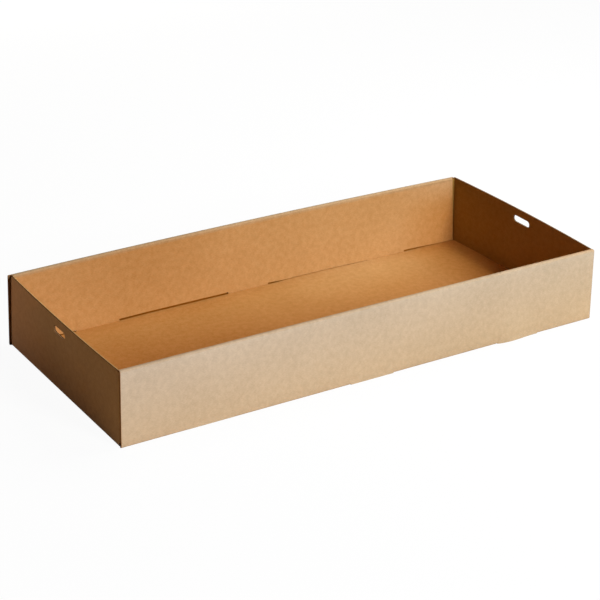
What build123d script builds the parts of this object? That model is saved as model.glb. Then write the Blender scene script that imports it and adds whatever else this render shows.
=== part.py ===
from build123d import *
import math
import os

# A catering tray folded from one die-cut sheet of fluted kraft board.
# Frame: X along the length, Y across the width, Z up, origin under the middle of the floor.
# All sizes are in millimetres.

# Overall size, outside to outside
tray_length = 558.0
tray_width = 252.0
tray_height = 80.0

# Board and its folds
board = 1.6  # thickness of the sheet
fold_inner_radius = 0.4  # inside radius of a pressed crease
layer_gap = 0.2  # clearance between folded layers that lie side by side

# Long walls: the sheet goes up outside, over the top and down again inside
panel_lift = 2.2  # free lower edge of an inner panel, above the floor
panel_end_gap = 0.3  # end of an inner panel to the end wall

# Lock tabs on the inner panels' lower edges, and the floor slots that take them
tab_count = 3
tab_width = 50.0
tab_end_distance = 96.5  # middle of the outer tabs to the end of the tray
tab_toe_lift = 0.2  # a tab's toe stops this far above the table
tab_side_gap = 0.5  # tab to each end of its slot
tab_slot_gap = 0.3  # tab to the long inner edge of its slot

# End walls: one layer of board, with ears tucked into the long walls
end_wall_drop = 0.4  # top edge of an end wall, below the top of the long walls
ear_length = 62.0
ear_lift = 1.0  # lower edge of an ear, above the inner panel's free edge
ear_corner_radius = 8.0

# Hand hole, a round-ended slot high in each end wall
hole_length = 29.0
hole_height = 8.0
hole_drop = 11.7  # middle of the hole, below the top of the tray

# Sizes that follow from the ones above
half_length = tray_length / 2
half_width = tray_width / 2
fold_outer_radius = fold_inner_radius + board
wall_depth = 3 * board + 2 * layer_gap  # outer panel, ear and inner panel

panel_face = half_width - wall_depth  # inside face of an inner panel
panel_bottom = board + panel_lift
panel_end = half_length - board - panel_end_gap

ear_face = half_width - board - layer_gap  # outside face of an ear
ear_bottom = panel_bottom + ear_lift
ear_top = tray_height - board - layer_gap
ear_tip = half_length - ear_length

end_wall_top = tray_height - end_wall_drop
end_wall_flat = ear_face - fold_outer_radius  # half width between the corner folds
end_rim = panel_face - layer_gap  # half width of the rim, between the long walls

# A tab slants outwards by one thickness, to stand in its slot against the outer panel
tab_pitch = 2 * (half_length - tab_end_distance) / (tab_count - 1)
tab_centers = [(index - (tab_count - 1) / 2) * tab_pitch for index in range(tab_count)]
tab_shift = board
tab_drop = panel_bottom - tab_toe_lift
tab_angle = math.atan2(tab_shift, tab_drop)
tab_toe_width = board / math.cos(tab_angle)
tab_miter = board * math.tan(tab_angle / 2)

slot_length = tab_width + 2 * tab_side_gap
slot_edge = panel_face + tab_shift * panel_lift / tab_drop - tab_slot_gap
slot_depth = half_width - slot_edge

os.makedirs("parts", exist_ok=True)

with BuildPart() as tray:
    # Inner panel, top, outer panel, floor and the same again: one strip of board seen end on
    with BuildSketch(Plane.YZ) as strip_section:
        with BuildLine():
            FilletPolyline(
                (-panel_face, panel_bottom),
                (-panel_face, tray_height),
                (-half_width, tray_height),
                (-half_width, 0),
                (half_width, 0),
                (half_width, tray_height),
                (panel_face, tray_height),
                (panel_face, panel_bottom),
                radius=fold_outer_radius,
            )
            offset(amount=board, side=Side.LEFT)
        make_face()
    extrude(amount=half_length, both=True)

    # The floor stops where the end walls fold up
    with BuildSketch(Plane.XY) as floor_ends:
        with GridLocations(tray_length - fold_outer_radius, 0, 2, 1):
            Rectangle(fold_outer_radius, 2 * (half_width - fold_outer_radius))
    extrude(amount=board, mode=Mode.SUBTRACT)

    # The inner panels stop inside the end walls, while the tops run on over the corners
    with BuildSketch(Plane.XY) as panel_ends:
        with GridLocations(half_length + panel_end, 2 * panel_face + fold_outer_radius, 2, 2):
            Rectangle(half_length - panel_end, fold_outer_radius)
    extrude(amount=tray_height - board, mode=Mode.SUBTRACT)

    # Slots cut along the long creases
    with BuildSketch(Plane.XY) as slots:
        with GridLocations(tab_pitch, half_width + slot_edge, tab_count, 2):
            Rectangle(slot_length, slot_depth)
    extrude(amount=fold_outer_radius, mode=Mode.SUBTRACT)

    # At a slot the outer panel is not folded, so its cut edge stands square on the table
    with BuildSketch(Plane.XY) as wall_feet:
        with GridLocations(tab_pitch, tray_width - board, tab_count, 2):
            Rectangle(slot_length, board)
    extrude(amount=fold_outer_radius)

    # Lock tabs, slanting from the inner panels into the slots
    with BuildSketch(*[Plane.YZ.offset(center) for center in tab_centers]) as tabs:
        with BuildLine():
            Polyline(
                (panel_face, panel_bottom),
                (panel_face + tab_shift, tab_toe_lift),
                (panel_face + tab_shift + tab_toe_width, tab_toe_lift),
                (panel_face + board, panel_bottom + tab_miter),
                close=True,
            )
        make_face()
        mirror(about=Plane.YZ)
    extrude(amount=tab_width / 2, both=True)

    # Creases between the floor and the end walls
    with BuildSketch(Plane.XZ) as end_folds:
        with BuildLine():
            FilletPolyline(
                (half_length - 2 * fold_outer_radius, 0),
                (half_length, 0),
                (half_length, ear_bottom),
                radius=fold_outer_radius,
            )
            offset(amount=board, side=Side.LEFT)
        make_face()
        mirror(about=Plane.YZ)
    extrude(amount=end_wall_flat, both=True)

    # End walls with their ears, seen from above
    with BuildSketch(Plane.XY.offset(ear_bottom)) as end_walls:
        with BuildLine():
            FilletPolyline(
                (ear_tip, -ear_face),
                (half_length, -ear_face),
                (half_length, ear_face),
                (ear_tip, ear_face),
                radius=fold_outer_radius,
            )
            offset(amount=board, side=Side.LEFT)
        make_face()
        mirror(about=Plane.YZ)
    extrude(amount=ear_top - ear_bottom)

    # Rims of the end walls, standing up between the long walls
    with BuildSketch(Plane.XY.offset(ear_top)) as end_rims:
        with GridLocations(tray_length - board, 0, 2, 1):
            Rectangle(board, 2 * end_rim)
    extrude(amount=end_wall_top - ear_top)

    # Rounded corners at the tips of the ears
    upright_faces = tray.faces().filter_by(Axis.X)
    ear_tip_faces = upright_faces.group_by(lambda face: abs(abs(face.center().X) - ear_tip))[0]
    fillet(ear_tip_faces.edges().filter_by(Axis.Y), radius=ear_corner_radius)

    # Hand holes
    with BuildSketch(Plane.YZ) as hand_holes:
        with Locations((0, tray_height - hole_drop)):
            SlotOverall(hole_length, hole_height)
    extrude(amount=half_length, both=True, mode=Mode.SUBTRACT)

tray.part.label = "tray"
export_step(tray.part, "parts/tray.step")
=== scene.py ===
# %% [markdown]
# # A folded kraft tray
# The real tray is one die-cut sheet of fluted board: a floor, two long walls that roll over at the top
# and come down again inside, and two end walls with a hand hole. This lesson folds that sheet in numpy
# and dresses it like the photo. The packed solid's box gives the sizes that the rest is worked out from.

# %% Load the frame
import math
from types import SimpleNamespace

import bmesh
import bpy
import numpy as np
from mathutils import Matrix, Vector


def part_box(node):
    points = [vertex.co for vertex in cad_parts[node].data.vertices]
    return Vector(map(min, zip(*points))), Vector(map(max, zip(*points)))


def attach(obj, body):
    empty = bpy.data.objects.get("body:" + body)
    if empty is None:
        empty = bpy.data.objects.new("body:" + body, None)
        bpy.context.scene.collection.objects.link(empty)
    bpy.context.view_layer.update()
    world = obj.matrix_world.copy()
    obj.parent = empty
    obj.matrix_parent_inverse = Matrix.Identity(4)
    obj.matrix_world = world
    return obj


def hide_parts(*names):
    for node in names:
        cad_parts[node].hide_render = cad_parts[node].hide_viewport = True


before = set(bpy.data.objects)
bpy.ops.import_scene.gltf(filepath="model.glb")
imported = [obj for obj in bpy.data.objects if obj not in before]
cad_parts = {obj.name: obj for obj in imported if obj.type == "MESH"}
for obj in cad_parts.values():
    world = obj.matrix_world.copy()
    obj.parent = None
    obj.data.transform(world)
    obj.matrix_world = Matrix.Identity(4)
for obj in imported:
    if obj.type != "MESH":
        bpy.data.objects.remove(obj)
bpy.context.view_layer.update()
tray_low, tray_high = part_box("tray")
half_length, half_width, height = tray_high
print("tray box in millimetres", [round(1000 * side) for side in tray_high - tray_low])

# %% [markdown]
# ## The board and its creases
# The sheet is thin fluted board, and a crease is pressed before folding, so it turns in a tight arc. A
# long wall is three layers deep, because the end walls' ears lie between its two panels. A modelling
# program would ask for the same sizes. Here they are named values in metres.

# %% Board, creases and wall depth
MM = 0.001

board = 1.6 * MM
crease_inner = 0.4 * MM
layer_gap = 0.2 * MM

crease_outer = crease_inner + board
crease_arc = (crease_inner + board / 2) * math.pi / 2
wall_depth = 3 * board + 2 * layer_gap
panel_face = half_width - wall_depth


def mm(length):
    """A length in metres, told in millimetres."""
    return round(float(length) / MM, 2)


print("a crease takes", mm(crease_arc), "mm, and a long wall is", mm(wall_depth), "mm deep")

# %% [markdown]
# ## A line that folds
# Seen end on, the sheet is a line that runs straight and turns in a tight arc at each crease. Modelling
# tools would fillet a polyline. Here the line is its heading at every station, so a crease of any angle
# is one more number. Stations are lengths along the flat sheet, so they also serve as the pattern's
# coordinates.

# %% Fold a line
def fold_line(stations, headings, start):
    """Middle line and outward normals of a folded sheet.

    Each step takes the mean heading of its ends and the length of its chord, the arc times sin(t/2) over
    t/2 for a turn t. Places are the running sum. All creases turn left, so the outside is on the right.
    """
    turns = np.diff(headings)
    chords = np.diff(stations) * np.sinc(turns / (2 * np.pi))
    mean = headings[:-1] + turns / 2
    steps = np.column_stack([chords * np.cos(mean), chords * np.sin(mean)])
    places = np.vstack([np.zeros(2), np.cumsum(steps, axis=0)]) + start
    normals = np.column_stack([np.sin(headings), -np.cos(headings)])
    return places, normals


square_crease, _ = fold_line(np.array([0, crease_arc]), np.radians([0, 90]), start=(0, 0))
print("a square crease carries the line on by", np.round(square_crease[-1] / MM, 2), "mm")

# %% Space the stations out
crease_steps = 6
panel_step = 7 * MM


def divide(knots, counts):
    """Stations from the first knot to just before the last, each gap in its own count of even steps."""
    gaps = zip(knots[:-1], knots[1:], counts)
    return np.concatenate([np.linspace(start, end, count, endpoint=False) for start, end, count in gaps])


def space_out(knots):
    """Stations through all the knots: a crease in its own steps, a longer run in even panel steps."""
    gaps = np.diff(knots)
    is_crease = np.isclose(gaps, crease_arc)
    run_counts = np.where(gaps > crease_arc, np.ceil(gaps / panel_step), 1)
    counts = np.where(is_crease, crease_steps, run_counts).astype(int)
    return np.append(divide(knots, counts), knots[-1])


print("a run of 20 mm gets", len(space_out(np.array([0, 20 * MM]))), "stations")

# %% [markdown]
# ## Soft cut edges
# A die crushes the board a little where it cuts, so a raw edge is rounded. A Bevel modifier would round
# the creases as well. Here the two faces draw together towards a raw edge: a few stations stand at the
# insets of an arc, and the thickness fades by the share of that arc.

# %% Soften the cut edges
edge_round = 0.6 * MM
edge_turns = np.radians([0, 20, 40, 55, 70])
edge_insets = edge_round * (np.sin(edge_turns[-1]) - np.sin(edge_turns))
edge_shares = np.cos(edge_turns)


def soften(distance):
    """Share of the thickness left at a distance from a cut edge: cos t at the inset r (sin t0 - sin t)."""
    return np.interp(distance, edge_insets[::-1], edge_shares[::-1])


print("a cut edge is rounded over", mm(edge_insets[0]), "mm")

# %% [markdown]
# ## The strip: floor, rolled walls and tabs
# One profile carries the floor, the outer panels, the rolled tops and the inner panels. They could be
# objects of their own, but one line keeps the sheet whole. Half of it is worked out and mirrored. A tab
# is the last bit of an inner panel, and leans out a little into a slot of the floor.

# %% Size the tabs and their slots
panel_lift = 2.2 * MM
tab_toe_lift = 0.2 * MM
tab_slant = 0.4 * MM
tab_bend = 0.5 * MM
tab_slot_gap = 0.05 * MM

panel_bottom = board + panel_lift
tab_drop = panel_bottom - tab_toe_lift
tab_angle = math.atan2(tab_slant, tab_drop)
tab_run = (tab_drop - board / 2 * math.sin(tab_angle)) / math.cos(tab_angle) - tab_bend
slot_edge = panel_face + tab_slant * panel_lift / tab_drop - tab_slot_gap
print("a tab is", mm(tab_bend + tab_run), "mm long, its slot", mm(slot_edge), "mm from the middle")

# %% Stations across the floor
hole_half_length = 14.5 * MM
floor_edge = half_width - crease_outer
end_flat = half_width - board - layer_gap - crease_outer
end_rim = panel_face - layer_gap

# Lines lie closest where the round ends of the hand holes will be
hole_lines = np.concatenate([np.linspace(0, 10.5 * MM, 4), hole_half_length - np.array([3, 2, 1, 0]) * MM])
plain_lines = np.concatenate([[17 * MM, 20 * MM, 25 * MM], np.linspace(32, 116, 9) * MM])
floor_lines = np.concatenate([hole_lines, plain_lines, [end_rim, slot_edge, end_flat]])
print("stations across half the floor", len(floor_lines))

# %% Stations up the wall and down inside
# Over the tone run the outside tone turns into the inner panels' painted shade.
tone_run = 2.6 * MM
wall_runs = [
    (crease_arc, 90),  # crease at the foot, and its turn in degrees
    (height - 2 * crease_outer, 0),  # outer panel
    (crease_arc, 90),  # first crease of the roll
    (wall_depth - 2 * crease_outer, 0),  # narrow top
    (crease_arc, 90),  # second crease of the roll
    (tone_run, 0),  # top of the inner panel, where the tone changes
    (height - crease_outer - panel_bottom - tone_run, 0),  # inner panel
    (tab_bend, math.degrees(tab_angle)),  # bend of a tab
    (tab_run, 0),  # tab
]
run_lengths, run_turns = np.array(wall_runs).T
wall_knots = floor_edge + np.concatenate([[0], np.cumsum(run_lengths)])
wall_headings = np.concatenate([[0], np.cumsum(run_turns)])
foot_top, roll_start, _, _, roll_end, tone_end, panel_edge, _, toe_station = wall_knots[1:]

half_stations = np.concatenate([floor_lines, space_out(wall_knots)])
half_headings = np.radians(np.interp(half_stations, wall_knots, wall_headings))
half_places, half_normals = fold_line(half_stations, half_headings, start=(0, board / 2))
print("the flat sheet is", mm(2 * toe_station), "mm wide, with", len(half_stations), "stations a half")

# %% [markdown]
# ## Carry the profile along the tray
# A profile carried along a path makes a grid: along the tray one way, across the flat sheet the other. A
# sweep tool would space its own rings, but the die needs a line at both sides of every tab, slot and
# knife cut, so those come first here.

# %% Lines along the tray
tab_centers = np.array([-184.3, 0, 182.5]) * MM
tab_half = 25.4 * MM
tab_side_gap = 0.05 * MM
knife_cut = 0.05 * MM

slot_half = tab_half + tab_side_gap
floor_end = half_length - crease_outer
cut_offsets = np.array([tab_half, slot_half, slot_half + knife_cut])
cut_lines = tab_centers[:, None] + np.concatenate([-cut_offsets, cut_offsets])
run_lines = np.concatenate([np.linspace(33, 150, 14), np.linspace(163, 202, 5), np.linspace(215, 270, 7)])
middle_lines = np.linspace(-20, 20, 5) * MM
end_lines = np.append(half_length - edge_insets, floor_end)
all_lines = [cut_lines.ravel(), middle_lines, run_lines * MM, -run_lines * MM, end_lines, -end_lines]
along = np.unique(np.round(np.concatenate(all_lines), 7))
print("lines along the tray", len(along))


# %% Carry the profile
def mirrored(values, sign):
    """A half row of values from the middle outwards, and its mirror image before it."""
    return np.concatenate([sign * values[:0:-1], values])


def mirrored_line(places, normals):
    """Both halves of a folded line, as four rows: the two of its places and the two of its normals."""
    columns = [places[:, 0], places[:, 1], normals[:, 0], normals[:, 1]]
    return [mirrored(column, sign) for column, sign in zip(columns, (-1, 1, -1, 1))]


across = mirrored(half_stations, -1)
profile = mirrored_line(half_places, half_normals)
strip_x = np.repeat(along[:, None], len(across), axis=1)
strip_y, strip_z, normal_y, normal_z = [np.tile(row, (len(along), 1)) for row in profile]
print("strip grid", strip_x.shape)

# %% [markdown]
# ## Feet beside the slots
# A slot is cut along the crease between the floor and an outer panel. Without a crease the panel's cut
# edge stands straight on the table and shows as a small bump. A block could be joined on, but moving
# the crease's own points upright keeps the sheet whole. One foot in the photo hangs clear of the table.

# %% Stand the feet on the table
snap = 1e-7  # metres, so that a line counts as being at its own place
foot_lift = 0.75 * MM

to_tab = np.abs(along[:, None] - tab_centers).min(axis=1)
in_crease = (np.abs(across) > floor_edge - snap) & (np.abs(across) < foot_top - snap)
is_foot = (to_tab < slot_half + snap)[:, None] & in_crease
is_lifted = (along < -half_length / 2)[:, None] & (across < 0)
foot_low = np.where(is_lifted, foot_lift, 0)
foot_rise = (np.abs(across) - floor_edge) / crease_arc

strip_y = np.where(is_foot, np.sign(across) * (half_width - board / 2), strip_y)
strip_z = np.where(is_foot, foot_low + (crease_outer - foot_low) * foot_rise, strip_z)
normal_y = np.where(is_foot, np.sign(across), normal_y)
normal_z = np.where(is_foot, 0, normal_z)
print("points in the feet", np.count_nonzero(is_foot))

# %% [markdown]
# ## Slack in the back panel
# Board springs, so a panel folded by hand never lies quite as drawn. In the photo the back inner panel
# sits lower and further back right of the middle, and near the left end its lower edge and the floor's
# come in. Proportional editing could push the points, but ramps have sizes that can be read.

# %% Settle the back panel
def ramp(values, start, length):
    """A share that rises evenly from nought at the start to one a length further on."""
    return np.clip((values - start) / length, 0, 1)


free_from, free_ramp, middle_settle = 27 * MM, 22 * MM, 1.62 * MM
right_from, right_ramp, right_settle = 212 * MM, 50 * MM, 1.725 * MM
left_settle = 0.75 * MM
settle_reach = 12 * MM

left_slot_start = tab_centers[0] - slot_half
right_slot_start = tab_centers[2] - slot_half
settle = middle_settle * ramp(along, free_from, free_ramp) * (along < right_slot_start + snap)
settle = settle + right_settle * ramp(along, right_from, right_ramp)
settle = settle + left_settle * (along < left_slot_start + snap)
strip_z = strip_z - settle[:, None] * ramp(across, panel_edge - settle_reach, settle_reach)
print("the back panel settles by up to", mm(settle.max()), "mm")


# %% Tuck the panel's left end in and set its right side back
def smooth(share):
    """The same share with soft ends: s^2 (3 - 2 s)."""
    return share**2 * (3 - 2 * share)


tuck_in, tuck_from, tuck_ramp = 2.0 * MM, 125 * MM, 60 * MM
floor_tuck_from, end_ramp = 105 * MM, 40 * MM
set_back, set_back_rise, set_back_to, set_back_fall = 1.7 * MM, 40 * MM, 157 * MM, 50 * MM
tuck_reach = 30 * MM

panel_part = ramp(across, panel_edge - tuck_reach, tuck_reach)
floor_part = ramp(across, floor_tuck_from, slot_edge - floor_tuck_from) * (across < slot_edge + snap)
before_end = ramp(along, -floor_end, end_ramp)
tuck = tuck_in * ramp(-along, tuck_from, tuck_ramp)
strip_y = strip_y - tuck[:, None] * (panel_part + before_end[:, None] * floor_part)

back_share = ramp(along, free_from, set_back_rise) * ramp(-along, -set_back_to, set_back_fall)
strip_y = strip_y + set_back * smooth(back_share)[:, None] * panel_part
print("its lower edge comes in by", mm(tuck.max()), "mm and stands back by", mm(set_back), "mm")

# %% [markdown]
# ## A pushed foot and a short roll
# In the photo the front wall's foot bulges at the right slot, as if the tab behind it pressed there, and
# at the back right corner the rolled top stops short. Sculpting could do both. Ramps on the same grid
# keep the layers together.

# %% Push a foot out and draw the roll in
foot_push, push_height = 2.2 * MM, 30 * MM
draw_in, draw_reach = 4.2 * MM, 40 * MM

# s (1 - s)^2 is largest a third of the way along, where it is 4/27
slot_share = ramp(along, right_slot_start, 2 * slot_half)
push = foot_push * 27 / 4 * slot_share * (1 - slot_share) ** 2
in_front_panel = (across < -floor_edge + snap) & (across > -roll_start)
strip_y = strip_y - push[:, None] * np.clip(1 - strip_z / push_height, 0, 1) * in_front_panel

draw_share = ramp(along, half_length - draw_reach, draw_reach) ** 2
draw = draw_in * strip_z / height * ramp(across, roll_start, crease_arc)
strip_x = strip_x - draw * draw_share[:, None]

strip_middle = np.stack([strip_x, strip_y, strip_z], axis=-1)
strip_normal = np.stack([np.zeros_like(strip_x), normal_y, normal_z], axis=-1)
strip_normal = strip_normal * soften(half_length - np.abs(along))[:, None, None]
print("the foot is pushed out by up to", mm(push.max()), "mm")

# %% [markdown]
# ## Die-cutting by a mask
# The slots, the tabs and the panel ends are cuts in a sheet. Boolean tools would do it, but a mask over
# the grid's cells is quicker and exact: a cell is board or it is cut away. Later a cell gives a face on
# each side of the sheet, and a border between board and air gives a cut edge.

# %% Cut the strip
roll_cut = 0.6 * crease_arc  # part of the roll's second crease that the panel's end takes with it

cell_x = (along[:-1] + along[1:])[:, None] / 2
cell_v = np.abs(across[:-1] + across[1:]) / 2
cell_to_tab = np.abs(cell_x - tab_centers).min(axis=1, keepdims=True)

beyond_floor = np.abs(cell_x) > floor_end
at_slot = (cell_to_tab < slot_half + knife_cut) & (cell_v > slot_edge)
in_slot = at_slot & (cell_v < floor_edge)
in_knife_cut = at_slot & (cell_to_tab > slot_half) & (cell_v < foot_top)
past_panel = beyond_floor & (cell_v > roll_end - roll_cut)
beside_tab = (cell_to_tab > tab_half) & (cell_v > panel_edge)
past_floor = beyond_floor & (cell_v < floor_edge)

strip_board = ~(past_floor | in_slot | in_knife_cut | past_panel | beside_tab)
strip_goes_on = beyond_floor & (cell_v < end_flat)
strip_raw = np.abs(cell_x) > half_length - edge_insets[0]
print("cells of board in the strip", np.count_nonzero(strip_board))

# %% [markdown]
# ## End walls with ears
# An end wall folds up from the floor, and its ears fold back along the inside of the outer panels.
# Modifiers could bend it. Two folded lines describe it exactly: one up the wall gives a point its height,
# and one across it gives its place across the tray.

# %% Fold a line up the end wall
ear_lift = 1.0 * MM
end_wall_drop = 0.4 * MM
hole_half_height = 4.0 * MM
hole_drop = 11.7 * MM

hole_level = height - hole_drop
ear_bottom = panel_bottom + ear_lift
ear_top = height - board - layer_gap
levels = np.array([ear_bottom, hole_level - hole_half_height, hole_level + hole_half_height, ear_top,
                   height - end_wall_drop])
up_knots = np.concatenate([[0, crease_arc], crease_arc + levels - crease_outer])
ear_from, hole_from, hole_to, ear_to, wall_to = up_knots[2:]
up_steps = (crease_steps, 1, 8, 8, 3, 1)
up = np.append(divide(up_knots, up_steps), wall_to - edge_insets)
up_headings = np.radians(np.interp(up, [0, crease_arc], [0, 90]))
up_places, up_normals = fold_line(up, up_headings, start=(floor_end, board / 2))
up_shares = soften(wall_to - up)[:, None]
print("an end wall is", mm(up_places[-1, 1]), "mm high, with", len(up), "lines up it")

# %% Fold a line across it
ear_length = 62 * MM
ear_corner = 8 * MM
ear_steps = (crease_steps, 7, 6)

ear_flat = end_flat + crease_arc
ear_tip = ear_flat + ear_length - crease_outer
ear_knots = np.array([end_flat, ear_flat, ear_tip - ear_corner, ear_tip])
ear_lines = np.append(divide(ear_knots, ear_steps), ear_tip)
half_wide = np.concatenate([floor_lines[floor_lines < end_flat - snap], ear_lines])
wide_headings = np.radians(np.interp(half_wide, [end_flat, ear_flat], [0, 90]))
wide_places, wide_normals = fold_line(half_wide, wide_headings, start=(0, 0))

wide = mirrored(half_wide, -1)
wide_y, wide_back, wide_normal_y, wide_normal_back = mirrored_line(wide_places, wide_normals)
print("an end wall and its ears are", mm(2 * ear_tip), "mm of sheet, in", len(wide), "lines")


# %% Faces of an end wall
def end_wall_face(offset):
    """Points of one face of the right end wall, the given offset outside the middle of the sheet.

    The line up the wall gives x and z, the line across it y and how far an ear turns back in x. In the flat
    of the wall both have the same normal, so it counts once. The offset fades at the raw top edge.
    """
    offset = offset * up_shares
    x = up_places[:, :1] + offset * up_normals[:, :1] - wide_back - offset * (wide_normal_back + 1)
    y = wide_y + offset * wide_normal_y
    z = np.repeat(up_places[:, 1:] + offset * up_normals[:, 1:], len(wide), axis=1)
    return np.stack([x, y, z], axis=-1)


print("end wall grid", end_wall_face(board / 2).shape[:2])

# %% [markdown]
# ## Hand holes and ear tips
# A hand hole is a round-ended slot high in each end wall. A Boolean cut would leave long thin faces. Here
# a block of cells is left out, and the lines around it are eased to a round corner. The two holes in the
# photo differ a little. The ears' tips are hidden there, and their round corners are a guess.

# %% Round the hand hole
hole_reach = 2.2
left_hole = {"shrink": (0.85, 0.90), "shift": (2.3 * MM, -1.8 * MM)}
right_hole = {"shrink": (0.975, 0.95), "shift": (0.55 * MM, -1.0 * MM)}


def round_hole(points, shrink, shift):
    """Eases grid lines round the hand hole.

    A point's square radius is the larger of |y| over the half length and |z| over the half height. Its
    partner on the square border goes to the round-ended outline by the square-to-disc map
    x sqrt(1 - y^2/2), y sqrt(1 - x^2/2) on each cap, then to the hole's own size and place. The point
    takes a share of that move that fades with the radius.
    """
    y = points[..., 1]
    z = points[..., 2] - hole_level
    radius = np.maximum(np.maximum(np.abs(y) / hole_half_length, np.abs(z) / hole_half_height), 1)
    share = np.clip((hole_reach - radius) / (hole_reach - 1), 0, 1)
    border_y, border_z = y / radius, z / radius
    cap_y = np.clip((np.abs(border_y) - hole_half_length) / hole_half_height + 1, 0, 1)
    cap_z = np.clip(border_z / hole_half_height, -1, 1)
    round_y = border_y + np.sign(y) * hole_half_height * cap_y * (np.sqrt(1 - cap_z**2 / 2) - 1)
    round_z = border_z + hole_half_height * cap_z * (np.sqrt(1 - cap_y**2 / 2) - 1)
    moved = points.copy()
    moved[..., 1] += share * (shrink[0] * round_y + shift[0] - border_y)
    moved[..., 2] += share * (shrink[1] * round_z + shift[1] - border_z)
    return moved


print("the right hand hole is", mm(2 * hole_half_length * right_hole["shrink"][0]), "mm long")


# %% Round the ears' tips
def round_ears(points):
    """Narrows an ear towards its tip by the drop of a quarter circle, r - sqrt(r^2 - d^2)."""
    into_corner = np.clip(np.abs(wide) - ear_tip + ear_corner, 0, ear_corner)
    drop = ear_corner - np.sqrt(ear_corner**2 - into_corner**2)
    middle = (ear_bottom + ear_top) / 2
    moved = points.copy()
    moved[..., 2] = middle + (points[..., 2] - middle) * (1 - 2 * drop / (ear_top - ear_bottom))
    return moved


print("an ear is", mm(ear_top - ear_bottom), "mm high, with corners of", mm(ear_corner), "mm")

# %% Cut the end walls
rim_run_on = 0.75 * crease_arc  # how far the right rim runs on into the back corner's crease

cell_up = (up[:-1] + up[1:])[:, None] / 2
cell_across = (wide[:-1] + wide[1:]) / 2
cell_wide = np.abs(cell_across)
in_hole = (cell_up > hole_from) & (cell_up < hole_to) & (cell_wide < hole_half_length)
below_ear = (cell_up < ear_from) & (cell_wide > end_flat)
beside_rim = (cell_up > ear_to) & (cell_wide > end_rim)
in_back_corner = (cell_across > 0) & (cell_wide < end_flat + rim_run_on)

left_board = ~(in_hole | below_ear | beside_rim)
right_board = ~(in_hole | below_ear | (beside_rim & ~in_back_corner))
end_raw = cell_up > wall_to - edge_insets[0]
print("cells of board in the end walls", np.count_nonzero(left_board), np.count_nonzero(right_board))

# %% [markdown]
# ## Bowed, leaning and flared walls
# The corners hold the walls, and between them the board bulges, mostly at the top. Sizes are read from
# the photo: the back wall bows out, the front wall a little in, the right end at its foot too, the left
# end leans in, and the back wall's outer panel springs past it. A lattice could push each panel, but
# pushing the whole folded sheet keeps its layers together.

# %% Bow the walls
bow_back, bow_front = 5.2 * MM, -1.1 * MM
bow_left, bow_right = 2.2 * MM, 3.5 * MM
bow_right_foot = 3.2 * MM
bow_fade = 18 * MM


def bow(points):
    """Pushes a long wall out by bow (1 - (x/l)^2) z/h, and an end wall by bow (1 - (y/w)^2) z/h.

    The right end's foot is pushed out by bow (1 - (y/w)^4) (1 - z/h). The push fades out away from a wall.
    """
    x, y, z = np.moveaxis(points, -1, 0)
    rise = np.clip(z / height, 0, 1)
    near_long = ramp(np.abs(y), panel_face - bow_fade, bow_fade)
    near_end = ramp(np.abs(x), floor_end - bow_fade, bow_fade)
    long_bow = np.where(y > 0, bow_back, bow_front) * rise * (1 - (x / half_length) ** 2)
    end_bow = np.where(x > 0, bow_right, bow_left) * rise * (1 - (y / half_width) ** 2)
    foot_bow = np.where(x > 0, bow_right_foot, 0) * (1 - rise) * (1 - (y / half_width) ** 4)
    moved = points.copy()
    moved[..., 0] += np.sign(x) * (end_bow + foot_bow) * near_end
    moved[..., 1] += np.sign(y) * long_bow * near_long
    return moved


back_top = np.array([0, half_width, height])
print("the middle of the back wall's top moves by", np.round((bow(back_top) - back_top) / MM, 2), "mm")

# %% Lean the ends
left_foot_out, left_top_in, left_top_skew = 0.85 * MM, 1.3 * MM, 0.8 * MM
back_foot_out = 3.0 * MM
left_reach = 60 * MM
right_foot_out, front_foot_out = 0.6 * MM, 0.7 * MM
right_lean_reach, right_lean_ramp = 85 * MM, 25 * MM


def lean(points):
    """Moves each end's foot and top by a share that rises towards that end.

    A foot's part of the move is 1 - z/h, and a top's is z/h. The left end goes out at its foot and in at
    its top. A corner's foot also moves across, by a part that rises from halfway across the tray.
    """
    x, y, z = np.moveaxis(points, -1, 0)
    low = 1 - z / height
    left_share = smooth(ramp(-x, floor_end - left_reach, left_reach))
    right_share = ramp(x, floor_end - right_lean_reach, right_lean_ramp)
    back_corner = ramp(y, half_width / 2, half_width / 2)
    front_corner = ramp(-y, half_width / 2, half_width / 2)
    top_in = left_top_in + left_top_skew * y / half_width
    moved = points.copy()
    moved[..., 0] += left_share * (top_in * (1 - low) - left_foot_out * low)
    moved[..., 0] += right_share * right_foot_out * low
    moved[..., 1] += left_share * back_corner * back_foot_out * low
    moved[..., 1] -= right_share * front_corner * front_foot_out * low
    return moved


back_left_foot = np.array([-half_length, half_width, 0])
print("the back left foot moves by", np.round((lean(back_left_foot) - back_left_foot) / MM, 2), "mm")

# %% Flare the back wall
flare_foot, flare_top = 1.6 * MM, 3.0 * MM
flare_reach, flare_slack = 40 * MM, 0.4 * MM


def flare(points):
    """Lets the back wall's outer panel stand past the left end, by the square of a share rising to it."""
    x, y, z = np.moveaxis(points, -1, 0)
    share = ramp(-x, half_length - flare_reach, flare_reach) ** 2
    in_outer_panel = ramp(y, half_width - board - flare_slack, flare_slack)
    moved = points.copy()
    moved[..., 0] -= share * in_outer_panel * (flare_foot + (flare_top - flare_foot) * z / height)
    return moved


print("the back wall stands out by", mm(flare_foot), "to", mm(flare_top), "mm")


# %% Shape both faces of every part
def round_end(offset, hole):
    """One face of an end wall with its hand hole and ears rounded."""
    return round_ears(round_hole(end_wall_face(offset), **hole))


mirror_x = np.array([-1, 1, 1])
offsets = (board / 2, -board / 2)
strip_faces = [lean(bow(flare(strip_middle + strip_normal * offset))) for offset in offsets]
right_faces = [lean(bow(round_end(offset, right_hole))) for offset in offsets]
left_faces = [lean(bow(round_end(offset, left_hole) * mirror_x)) for offset in offsets]
print("highest point of the strip", mm(strip_faces[0][..., 2].max()), "mm")

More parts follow.
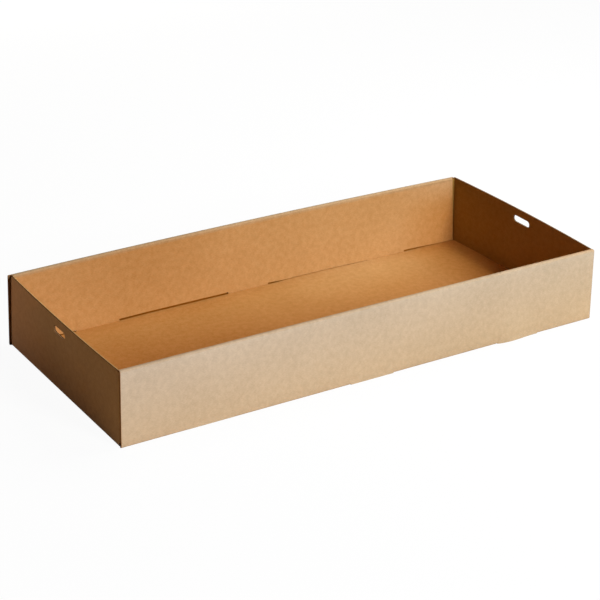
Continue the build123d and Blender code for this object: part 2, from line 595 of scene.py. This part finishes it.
# %% [markdown]
# ## From grids to one closed mesh
# The faces come from the masks by index arithmetic on whole arrays. A Solidify modifier could give a
# sheet its thickness, but it wouldn't know the rounded edges. The strip and the end walls meet along the
# floor's ends, so merging doubles welds them into one closed skin.

# %% Faces of a cut sheet
def sheet_faces(cells, raw, goes_on, foot_goes_on):
    """Quads of a sheet of two vertex layers, the outer one first, and which of them are cut edges.

    A cell of board gives one face on each layer. Where its neighbour is neither board nor goes on in
    another grid, the side between them gives a cut edge. Raw cells belong to a rounded cut edge too.
    """
    rows, columns = cells.shape
    ids = np.arange((rows + 1) * (columns + 1)).reshape(rows + 1, columns + 1)
    layer = ids.size
    a, b, c, d = ids[:-1, :-1], ids[1:, :-1], ids[1:, 1:], ids[:-1, 1:]
    outer = np.stack([a, d, c, b], axis=-1)[cells]
    inner = np.stack([a, b, c, d], axis=-1)[cells] + layer
    filled = np.pad(cells | goes_on, 1, constant_values=((foot_goes_on, False), (False, False)))
    sides = [(filled[:-2, 1:-1], d, a), (filled[2:, 1:-1], b, c),
             (filled[1:-1, :-2], a, b), (filled[1:-1, 2:], c, d)]
    edges = [np.stack([start, end, end + layer, start + layer], axis=-1)[cells & ~neighbour]
             for neighbour, start, end in sides]
    quads = np.concatenate([outer, inner, *edges])
    is_cut = np.ones(len(quads), dtype=bool)
    is_cut[:2 * len(outer)] = np.tile(np.broadcast_to(raw, cells.shape)[cells], 2)
    return quads, is_cut


def sheet_part(faces, u, v, cells, raw, goes_on=False, foot_goes_on=True, flip=False):
    """One grid of board as arrays: points, quads, and each point's place on the sheet and depth."""
    quads, is_cut = sheet_faces(cells, raw, goes_on, foot_goes_on)
    flat = np.stack(np.meshgrid(u, v, indexing="ij"), axis=-1).reshape(-1, 2)
    return {
        "points": np.concatenate([face.reshape(-1, 3) for face in faces]),
        "quads": quads[:, ::-1] if flip else quads,
        "is_cut": is_cut,
        "flat": np.concatenate([flat, flat]),
        "depth": np.repeat([0.0, 1.0], len(flat)),
    }


strip = sheet_part(strip_faces, along, across, strip_board, strip_raw, strip_goes_on, foot_goes_on=False)
right_end = sheet_part(right_faces, floor_end + up, wide, right_board, end_raw)
left_end = sheet_part(left_faces, -floor_end - up, wide, left_board, end_raw, flip=True)
parts = (strip, right_end, left_end)
print("quads", [len(part["quads"]) for part in parts])

# %% [markdown]
# ## What each point knows
# A finish needs to know how far through the board a point lies, whether it looks into the tray, and
# whether it lies in the hollow of a long wall, which takes painted shade. Painted masks could say it, but
# attributes come straight from the fold. Over the roll the tone turns into the inner panels' painted shade,
# and the hollow's painted shade fades where the settled panel shuts it.

# %% Tell which points look in and which lie in a hollow
gap_closes = 2.727 * MM  # a panel that settles by this much would close the gap

roll_share = np.sqrt(ramp(np.abs(strip["flat"][:, 1]), roll_start, tone_end - roll_start))
strip["looks_in"] = np.maximum(strip["depth"], roll_share)
# The hollow's share is painted shade between the panels, less where the settled panel shuts the gap.
gap_open = np.clip(1 - settle / gap_closes, 0, 1)
inner_hollow = gap_open[:, None] * (np.abs(across) > slot_edge - snap)
strip["hollow"] = np.concatenate([np.zeros(inner_hollow.size), inner_hollow.ravel()])
for end in (right_end, left_end):
    end["looks_in"] = end["depth"]
    # The ears, hidden between the panels, take the hollow's painted shade on both faces.
    end["hollow"] = np.tile((np.abs(wide) > ear_flat) * 1.0, 2 * len(up))
print("points that lie in a hollow", [np.count_nonzero(part["hollow"]) for part in parts])

# %% Weld the parts into one mesh
point_values = ("depth", "looks_in", "hollow")
weld_distance = 0.01 * MM
sharp_angle = math.radians(40)


def weld(parts):
    """One mesh from several sheet parts: points that no quad uses are dropped, and doubles are merged."""
    joined = {name: np.concatenate([part[name] for part in parts]) for name in parts[0]}
    counts = [len(part["points"]) for part in parts]
    starts = np.repeat(np.cumsum([0] + counts[:-1]), [len(part["quads"]) for part in parts])
    quads = joined["quads"] + starts[:, None]
    used, compact = np.unique(quads, return_inverse=True)
    mesh = bpy.data.meshes.new("tray_board")
    mesh.from_pydata(joined["points"][used], [], compact.reshape(quads.shape))
    mesh.polygons.foreach_set("material_index", joined["is_cut"].astype(np.int32))
    places = joined["flat"][quads.ravel()].astype(np.float32)
    mesh.uv_layers.new(name="sheet").uv.foreach_set("vector", places.ravel())
    for name in point_values:
        values = joined[name][used].astype(np.float32)
        mesh.attributes.new(name, "FLOAT", "POINT").data.foreach_set("value", values)
    work = bmesh.new()
    work.from_mesh(mesh)
    bmesh.ops.remove_doubles(work, verts=work.verts[:], dist=weld_distance)
    work.to_mesh(mesh)
    work.free()
    mesh.polygons.foreach_set("use_smooth", np.ones(len(mesh.polygons), dtype=bool))
    mesh.set_sharp_from_angle(angle=sharp_angle)
    return mesh


def count_open_edges(mesh):
    """Edges that don't have exactly two faces, counted from the edge of every face corner."""
    corner_edges = np.empty(len(mesh.loops), dtype=np.int32)
    mesh.loops.foreach_get("edge_index", corner_edges)
    return np.count_nonzero(np.bincount(corner_edges, minlength=len(mesh.edges)) != 2)


board_mesh = weld(parts)
open_edges = count_open_edges(board_mesh)
print("tray board:", len(board_mesh.polygons), "faces,", open_edges, "edges without two faces")

# %% Put the tray in the scene
def put_in_scene(name, data):
    """A new object at the origin of the scene."""
    item = bpy.data.objects.new(name, data)
    bpy.context.scene.collection.objects.link(item)
    return item


tray_board = put_in_scene("tray_board", board_mesh)
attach(tray_board, "root")
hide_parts("tray")
print("piece", tray_board.name, "rides on root and replaces tray")

# %% [markdown]
# ## Wiring a finish
# A finish is a tree of nodes, drawn by hand in the Shader Editor. In a script each node takes several
# lines, so a helper adds one, joins or sets its inputs, and hands back its output.

# %% Node helper
class Wiring:
    """Adds nodes to one tree. An input is a socket, a number or a colour, and each step gives a socket."""

    def __init__(self, tree):
        self.tree = tree

    def feed(self, node, inputs):
        """Joins inputs of a node to sockets, or sets them to numbers or colours."""
        for name, value in dict(inputs).items():
            if isinstance(value, bpy.types.NodeSocket):
                self.tree.links.new(value, node.inputs[name])
            else:
                node.inputs[name].default_value = value

    def add(self, kind, inputs=(), **settings):
        """A new node of one kind, with its settings and inputs."""
        node = self.tree.nodes.new(kind)
        for name, value in settings.items():
            setattr(node, name, value)
        self.feed(node, inputs)
        return node

    def attribute(self, name):
        """A value that the mesh holds at each point."""
        return self.add("ShaderNodeAttribute", attribute_name=name).outputs["Fac"]

    def maths(self, operation, first, second=0.0):
        """One maths step on two values."""
        return self.add("ShaderNodeMath", {0: first, 1: second}, operation=operation).outputs["Value"]

    def product(self, first, *others):
        """Several values multiplied together."""
        for other in others:
            first = self.maths("MULTIPLY", first, other)
        return first

    def spread(self, value, low, high, to_low, to_high):
        """A value mapped evenly from one range to another, and clamped."""
        inputs = {"Value": value, "From Min": low, "From Max": high, "To Min": to_low, "To Max": to_high}
        return self.add("ShaderNodeMapRange", inputs).outputs["Result"]

    def rise(self, value, low, high):
        """A share that rises from nought to one."""
        return self.spread(value, low, high, 0.0, 1.0)

    def fall(self, value, low, high):
        """A share that falls from one to nought."""
        return self.spread(value, low, high, 1.0, 0.0)

    def mix(self, factor, *colours):
        """A mix of two colours."""
        first, second = [(*tone, 1) if isinstance(tone, tuple) else tone for tone in colours]
        inputs = {0: factor, 6: first, 7: second}
        return self.add("ShaderNodeMix", inputs, data_type="RGBA").outputs[2]

    def power(self, colour, exponent):
        """A colour raised to a power, channel by channel."""
        return self.add("ShaderNodeGamma", {"Color": colour, "Gamma": exponent}).outputs["Color"]

    def noise(self, place, scale, detail, stretch=(1, 1), turn=0.0):
        """Plain noise on the flat sheet, stretched along one direction where asked."""
        inputs = {"Vector": place, "Scale": (*stretch, 1), "Rotation": (0, 0, turn)}
        mapping = self.add("ShaderNodeMapping", inputs)
        inputs = {"Vector": mapping.outputs["Vector"], "Scale": scale, "Detail": detail}
        return self.add("ShaderNodeTexNoise", inputs, noise_dimensions="2D").outputs["Fac"]


print("the node helper can add", [name for name in vars(Wiring) if not name.startswith("_")])


# %% New materials and places on the sheet
def new_material(name):
    """An empty node material: the material, its wiring and its shader, already joined to the output."""
    material = bpy.data.materials.new(name)
    material.use_nodes = True
    return material, Wiring(material.node_tree), material.node_tree.nodes["Principled BSDF"]


def sheet_place(wire):
    """What the mesh tells a material: the place on the flat sheet and the three attributes."""
    flat = wire.add("ShaderNodeUVMap", uv_map="sheet").outputs["UV"]
    split = wire.add("ShaderNodeSeparateXYZ", {"Vector": flat})
    values = {name: wire.attribute(name) for name in point_values}
    return SimpleNamespace(flat=flat, u=split.outputs["X"], v=split.outputs["Y"], **values)


print("attributes", [item.name for item in tray_board.data.attributes if item.data_type == "FLOAT"])

# %% [markdown]
# ## Kraft liner
# Kraft paper is brown, matte and never even: the pulp forms soft clouds, and fibres show as short
# streaks. In the photo it is paler outside than inside. The inner panels are the outside liner rolled over,
# so their brown tone is painted shade for the warm light bounced inside the tray. An image of paper could
# be wrapped on, but noise on the flat sheet's coordinates has no repeats or seams and follows the sheet
# over its creases.

# %% Tones of the liner
# The second tone, for the inner panels, and the fourth, for the hollow between the layers, are painted
# shade.
outside_tone = (0.528, 0.447, 0.322)
inner_panel_shade_tone = (0.508, 0.266, 0.095)
floor_tone = (0.515, 0.250, 0.074)
hollow_shade_tone = (0.42, 0.146, 0.016)
display_power = 2.2


def liner_tone(wire, place):
    """The outside tone, then the panel's painted shade where the sheet looks in, the floor's inside, and
    the hollow's painted shade.
    """
    tone = wire.mix(place.looks_in, outside_tone, inner_panel_shade_tone)
    tone = wire.mix(place.depth, tone, floor_tone)
    return wire.mix(place.hollow, tone, hollow_shade_tone)


print("outside tone as seen", [round(255 * channel ** (1 / display_power)) for channel in outside_tone])

# %% Clouds and fibres
cloud_scale, cloud_size = 170, 0.016
fibre_scale, fibre_stretch, cross_turn, fibre_size = 420, (1, 4), 1.1, 0.022
patch_scale, patch_size = 12, 0.010
noise_range, streak_range = (0.3, 0.7), (0.7, 1.3)


def liner_mottle(wire, place):
    """Small light and dark offsets: clouds, crossed fibres and broad patches. Gives the fibres too."""
    clouds = wire.noise(place.flat, cloud_scale, detail=3)
    fibres = wire.noise(place.flat, fibre_scale, detail=2, stretch=fibre_stretch)
    crossed = wire.noise(place.flat, fibre_scale, detail=2, stretch=fibre_stretch, turn=cross_turn)
    patches = wire.noise(place.flat, patch_scale, detail=2)
    streaks = wire.maths("ADD", fibres, crossed)
    mottle = wire.spread(clouds, *noise_range, -cloud_size, cloud_size)
    mottle = wire.maths("ADD", mottle, wire.spread(streaks, *streak_range, -fibre_size, fibre_size))
    mottle = wire.maths("ADD", mottle, wire.spread(patches, *noise_range, -patch_size, patch_size))
    return mottle, streaks


print("clouds and patches are about", mm(1 / cloud_scale), "and", mm(1 / patch_scale), "mm across")

# %% [markdown]
# ## Painted light and shade
# In the photo the board is a little redder or paler from place to place. Most of these shifts are painted
# light and shade: light between the walls, shadows and lit patches that these few lamps don't give. A
# drift is a small shift of the tone times a share that says where it applies, set by comparing the render
# with the photo. A painted mask would do too, but named places can be read. Shifts are added to the tone
# as the eye sees it.

# %% Drifts inside the tray
swing_reach = 0.13
# Inside the tray, paler right of the middle and deeper left of it: painted light.
light_swing_drift = (0.014, 0.022, 0.024)
# Redder on the front of the floor, in the front wall's shadow: painted shade.
floor_front_shade_drift = (0.050, -0.010, -0.026)
# A paler patch at the back of the floor, right of the middle: painted light.
floor_lit_patch_drift = (0.014, 0.032, 0.046)
# Less red on the right end's inner face, which lies in shade: painted shade.
end_shade_drift = (-0.035, 0.015, 0.020)
# Darker towards the back of the right end's inner face: painted shade.
end_back_shade_drift = (-0.080, -0.060, -0.070)
# More orange on the floor and the lower panels near the right end, in its shadow: painted shade.
low_right_shade_drift = (0.020, -0.020, -0.050)
# Paler at the top of the back inner panel near the right end: painted light.
top_right_light_drift = (0.040, 0.060, 0.085)
# Darker and less red over the tops of the rolls.
roll_drift = (-0.030, -0.020, -0.012)

# A share rises or falls between two places on the flat sheet, in metres from its middle
floor_front, end_back = (0.0, 0.09), (0.0, 0.11)
pale_begins, pale_ends, pale_back = (0.0, 0.12), (0.16, 0.23), (0.05, 0.115)
low_right, top_right = (0.20, 0.27), (0.19, 0.26)
low_right_run, top_right_run = 40 * MM, 25 * MM


def inside_drifts(wire, place):
    """Shares and shifts of painted light and shade for the floor, the right end and the inner panels,
    and a darker top for the rolls.
    """
    u, v = place.u, place.v
    on_end = wire.product(place.depth, wire.rise(u, floor_end, floor_end + crease_arc))
    on_floor = wire.maths("SUBTRACT", place.depth, on_end)
    before_wall = wire.fall(v, floor_edge, foot_top)
    swing = wire.maths("SINE", wire.product(u, math.pi / 2 / swing_reach))
    pale_along = wire.product(wire.rise(u, *pale_begins), wire.fall(u, *pale_ends))
    pale_across = wire.product(wire.rise(v, *pale_back), before_wall)

    right_side = wire.product(place.looks_in, wire.rise(u, *low_right))
    right_side = wire.maths("SUBTRACT", right_side, on_end)
    low_part = wire.maths("MAXIMUM", wire.rise(v, tone_end, tone_end + low_right_run), before_wall)
    on_panel = wire.rise(v, roll_end, tone_end)
    high_part = wire.product(on_panel, wire.fall(v, tone_end, tone_end + top_right_run))
    from_middle = wire.maths("ABSOLUTE", v)
    onto_roll = wire.rise(from_middle, roll_start, roll_start + crease_arc)
    return [
        (wire.product(swing, place.looks_in), light_swing_drift),
        (wire.product(on_floor, wire.fall(v, *floor_front)), floor_front_shade_drift),
        (wire.product(on_floor, pale_along, pale_across), floor_lit_patch_drift),
        (on_end, end_shade_drift),
        (wire.product(on_end, wire.rise(v, *end_back)), end_back_shade_drift),
        (wire.product(right_side, low_part), low_right_shade_drift),
        (wire.product(high_part, wire.rise(u, *top_right)), top_right_light_drift),
        (wire.product(onto_roll, wire.fall(from_middle, roll_end, tone_end)), roll_drift),
    ]


print("the swing turns over", mm(2 * swing_reach), "mm")

# %% Drifts outside the tray
# Yellower towards the front wall's foot and paler towards its top.
front_foot_drift = (0.008, -0.007, -0.030)
# Darker towards the right of the front wall and lighter towards its left: painted shade and light.
front_light_slope_drift = (-0.022, -0.016, -0.018)
# Darker and browner at the foot of the left end, in its middle: painted shade.
left_foot_shade_drift = (-0.045, -0.090, -0.125)
# Lighter towards the back of the left end's outside: painted light.
left_back_light_drift = (0.055, 0.035, 0.050)
# Much darker in the hollows at the left ends of the long walls: painted shade.
left_gap_shade_drift = (-0.28, -0.11, 0.05)

front_right = (-0.27, 0.27)
left_foot, left_foot_run = (0.05, 0.115), 60 * MM
left_back = (0.02, 0.11)
left_hollow = (4 * MM - half_length, 10 * MM - half_length)


def outside_drifts(wire, place):
    """Shares and shifts of painted light and shade for the front wall, the left end and the hollow beside
    it, and a yellower foot for the front wall.
    """
    u, v = place.u, place.v
    outside = wire.maths("SUBTRACT", 1.0, place.looks_in)
    front = wire.product(outside, wire.fall(v, -floor_edge, -end_flat))
    left = wire.product(outside, wire.fall(u, -floor_end - crease_arc, -floor_end))
    left_low = wire.rise(u, -floor_end - left_foot_run, -floor_end)
    left_middle = wire.fall(wire.maths("ABSOLUTE", v), *left_foot)
    return [
        (wire.product(front, wire.spread(v, -roll_start, -foot_top, -1.0, 1.0)), front_foot_drift),
        (wire.product(front, wire.spread(u, *front_right, -1.0, 1.0)), front_light_slope_drift),
        (wire.product(left, left_low, left_middle), left_foot_shade_drift),
        (wire.product(left, wire.rise(v, *left_back)), left_back_light_drift),
        (wire.product(place.hollow, wire.fall(u, *left_hollow)), left_gap_shade_drift),
    ]


print("the left foot shifts by", [round(255 * shift) for shift in left_foot_shade_drift], "levels")


# %% Make the liner
def shift_tone(wire, tone, drifts):
    """Adds all drifts to a tone as it is seen: root, add each share times its shift, and power."""
    seen = wire.power(tone, 1 / display_power)
    for share, shift in drifts:
        inputs = {0: shift, 1: share, 2: seen}
        seen = wire.add("ShaderNodeVectorMath", inputs, operation="MULTIPLY_ADD").outputs["Vector"]
    return wire.power(seen, display_power)


def kraft_liner():
    """Matte paper in kraft tones with painted light and shade, with the fibres also as a fine bump."""
    material, wire, shader = new_material("kraft_liner")
    place = sheet_place(wire)
    mottle, streaks = liner_mottle(wire, place)
    drifts = [(mottle, (1, 1, 1))] + inside_drifts(wire, place) + outside_drifts(wire, place)
    tone = shift_tone(wire, liner_tone(wire, place), drifts)
    bump = wire.add("ShaderNodeBump", {"Height": streaks, "Strength": 0.25, "Distance": 0.1 * MM})
    wire.feed(shader, {"Base Color": tone, "Normal": bump.outputs["Normal"]})
    wire.feed(shader, {"Roughness": 0.82, "Specular IOR Level": 0.05})
    return material


liner = kraft_liner()
tray_board.data.materials.append(liner)
print("finish", liner.name, "has", len(liner.node_tree.nodes), "nodes")

# %% [markdown]
# ## Cut edges
# A cut edge of fluted board shows two thin liners and a wavy middle sheet with hollows between, which the
# finish paints dark as shade. Modelled flutes would take thousands of faces that hardly show, so the finish
# draws a wave along the tray, and the depth attribute says where in the thickness a point lies. In the
# photo the inner part of the left end's top edge is pale, and there the finish gives it a painted
# highlight.

# %% Make the cut edge
flute_pitch = 3.4 * MM
flute_height = 0.34
paper_fade, rim_highlight_fade = (0.10, 0.18), (0.25, 0.40)  # shares of the thickness
# The paper is darker than the liner, partly raw fibre and partly painted shade. The flute hollows' tone is
# painted shade, and the left rim's tone a painted highlight.
paper_tone, flute_shade_tone, rim_highlight_tone = (0.30, 0.16, 0.07), (0.04, 0.018, 0.006), (0.54, 0.35, 0.14)
rim_top = floor_end + wall_to
left_rim = (1.3 * MM - rim_top, 1.7 * MM - rim_top)


def cut_edge():
    """Liner, wave, liner: paper where the depth is near a face or near the wave, and painted shade
    elsewhere.

    A painted highlight lies on the inner part of the left end's top edge.
    """
    material, wire, shader = new_material("cut_edge")
    place = sheet_place(wire)
    wave = wire.maths("SINE", wire.product(place.u, 2 * math.pi / flute_pitch))
    wave = wire.product(wave, flute_height)
    from_middle = wire.maths("SUBTRACT", place.depth, 0.5)
    from_wave = wire.maths("ABSOLUTE", wire.maths("SUBTRACT", from_middle, wave))
    from_face = wire.maths("SUBTRACT", 0.5, wire.maths("ABSOLUTE", from_middle))
    from_paper = wire.maths("MINIMUM", from_wave, from_face)
    colour = wire.mix(wire.rise(from_paper, *paper_fade), paper_tone, flute_shade_tone)
    on_left_rim = wire.fall(place.u, *left_rim)
    rim_highlight = wire.product(on_left_rim, wire.rise(place.depth, *rim_highlight_fade))
    colour = wire.mix(rim_highlight, colour, rim_highlight_tone)
    wire.feed(shader, {"Base Color": colour, "Roughness": 0.9, "Specular IOR Level": 0.05})
    return material


tray_board.data.materials.append(cut_edge())
print("finishes", [material.name for material in tray_board.data.materials])

# %% [markdown]
# ## Floor and world
# The photo's ground is plain white. More light would wash the tray out, so the floor and the world are
# white only to the camera, mirrors and glass, through Light Path. To the tray the floor is a brown that
# warms the shaded walls, and the world is dark. A faint share of the floor's shading keeps the shadow.

# %% White to the camera
def white_to_camera(wire):
    """One where a ray comes from the camera, a glossy bounce or glass, and nought elsewhere."""
    path = wire.add("ShaderNodeLightPath")
    seen = wire.maths("MAXIMUM", path.outputs["Is Camera Ray"], path.outputs["Is Glossy Ray"])
    return wire.maths("MAXIMUM", seen, path.outputs["Is Transmission Ray"])


floor_tint = (0.60, 0.30, 0.10, 1)
white_share = 0.95


def white_floor():
    """A floor whose picture is mostly plain white, with a share of its own shading for the shadow."""
    material, wire, shader = new_material("white_floor")
    wire.feed(shader, {"Base Color": floor_tint, "Roughness": 0.9, "Specular IOR Level": 0.0})
    shadow = wire.add("ShaderNodeBsdfDiffuse", {"Color": (1, 1, 1, 1)}).outputs["BSDF"]
    glow = wire.add("ShaderNodeEmission").outputs["Emission"]
    picture = wire.add("ShaderNodeMixShader", {"Fac": white_share, 1: shadow, 2: glow}).outputs["Shader"]
    inputs = {"Fac": white_to_camera(wire), 1: shader.outputs["BSDF"], 2: picture}
    choose = wire.add("ShaderNodeMixShader", inputs)
    wire.feed(material.node_tree.nodes["Material Output"], {"Surface": choose.outputs["Shader"]})
    return material


print("share of the floor's own shading", round(1 - white_share, 2))

# %% Lay the floor
floor_half = 4.0
floor_mesh = bpy.data.meshes.new("floor")
floor_corners = np.array([[-1, -1, 0], [1, -1, 0], [1, 1, 0], [-1, 1, 0]]) * floor_half
floor_mesh.from_pydata(floor_corners, [], [(0, 1, 2, 3)])
floor_mesh.materials.append(white_floor())
floor = put_in_scene("floor", floor_mesh)
print("floor", 2 * floor_half, "m wide")

# %% Set the world
room_tone, white = (0.0, 0.0, 0.0), (1.0, 1.0, 1.0)
world = bpy.data.worlds.new("studio")
world.use_nodes = True
bpy.context.scene.world = world
backdrop = world.node_tree.nodes["Background"]
room = Wiring(world.node_tree)
seen_tone = room.mix(white_to_camera(room), room_tone, white)
room.feed(backdrop, {"Color": seen_tone, "Strength": 1.0})
print("room light", room_tone)

# %% [markdown]
# ## Studio light
# In the photo the floor is darkest along the front wall and beside the right end, and the left end is in
# shade. So the main lamp stands low in front, a little to the right, and a wide one high at the right
# fills the tray. A small warm one low at the back left lifts the left end, and one behind lights the back
# wall's top. Sun lamps would give hard shadows.

# %% Lamps
def direction(azimuth, elevation):
    """Unit vector at a bearing a, from front to right, and a height e: sin a cos e, -cos a cos e, sin e."""
    level = math.cos(elevation)
    return Vector((math.sin(azimuth) * level, -math.cos(azimuth) * level, math.sin(elevation)))


def soft_lamp(name, azimuth, elevation, distance, size, power, tone):
    """A square area lamp that looks at the tray from a bearing and a height, both in degrees."""
    back = direction(math.radians(azimuth), math.radians(elevation))
    data = bpy.data.lights.new(name, "AREA")
    data.size = size
    data.energy = power
    data.color = tone
    lamp = put_in_scene(name, data)
    lamp.location = back * distance
    lamp.rotation_euler = back.to_track_quat("Z", "Y").to_euler()
    return lamp


lamps = [
    soft_lamp("key", azimuth=10, elevation=25.5, distance=2.4, size=0.5, power=50, tone=(1, 1, 1)),
    soft_lamp("side", azimuth=88, elevation=47, distance=1.2, size=0.9, power=12.4, tone=(1, 1, 1)),
    soft_lamp("fill", azimuth=-120, elevation=3, distance=0.9, size=0.15, power=0.58, tone=(1, 0.55, 0.3)),
    soft_lamp("back", azimuth=169, elevation=9, distance=2.0, size=0.5, power=17, tone=(1, 0.94, 0.86)),
]
print("lamps", [(lamp.name, round(lamp.data.energy, 2)) for lamp in lamps])

# %% [markdown]
# ## Camera
# A camera fitted to the tray's corners in the photo gives the place, the bearing, the lens and a slight
# roll. It could be placed by eye, but a fit can be checked. Its matrix is built from the direction back
# to it, its right and its up.

# %% Camera
camera_place = Vector((-0.9224, -1.4676, 0.8367))
azimuth, elevation, roll = math.radians(-31.925), math.radians(24.779), math.radians(0.68)
photo_pixels, focal_pixels, sensor_mm = 600, 1827, 36

back = direction(azimuth, elevation)
level_right = Vector((math.cos(azimuth), math.sin(azimuth), 0))
level_up = back.cross(level_right)
right = level_right * math.cos(roll) + level_up * math.sin(roll)
turn = Matrix((right, back.cross(right), back)).transposed().to_4x4()

camera_data = bpy.data.cameras.new("camera")
camera_data.sensor_width = sensor_mm
camera_data.lens = sensor_mm * focal_pixels / photo_pixels
camera_data.clip_end = 20
camera = put_in_scene("camera", camera_data)
camera.matrix_world = Matrix.Translation(camera_place) @ turn
bpy.context.scene.camera = camera
bpy.context.scene.view_settings.view_transform = "Standard"
print("lens", round(camera_data.lens, 1), "mm")

# %% [markdown]
# ## Sizes
# The bows and leans make the visual tray a few millimetres larger than its solid.
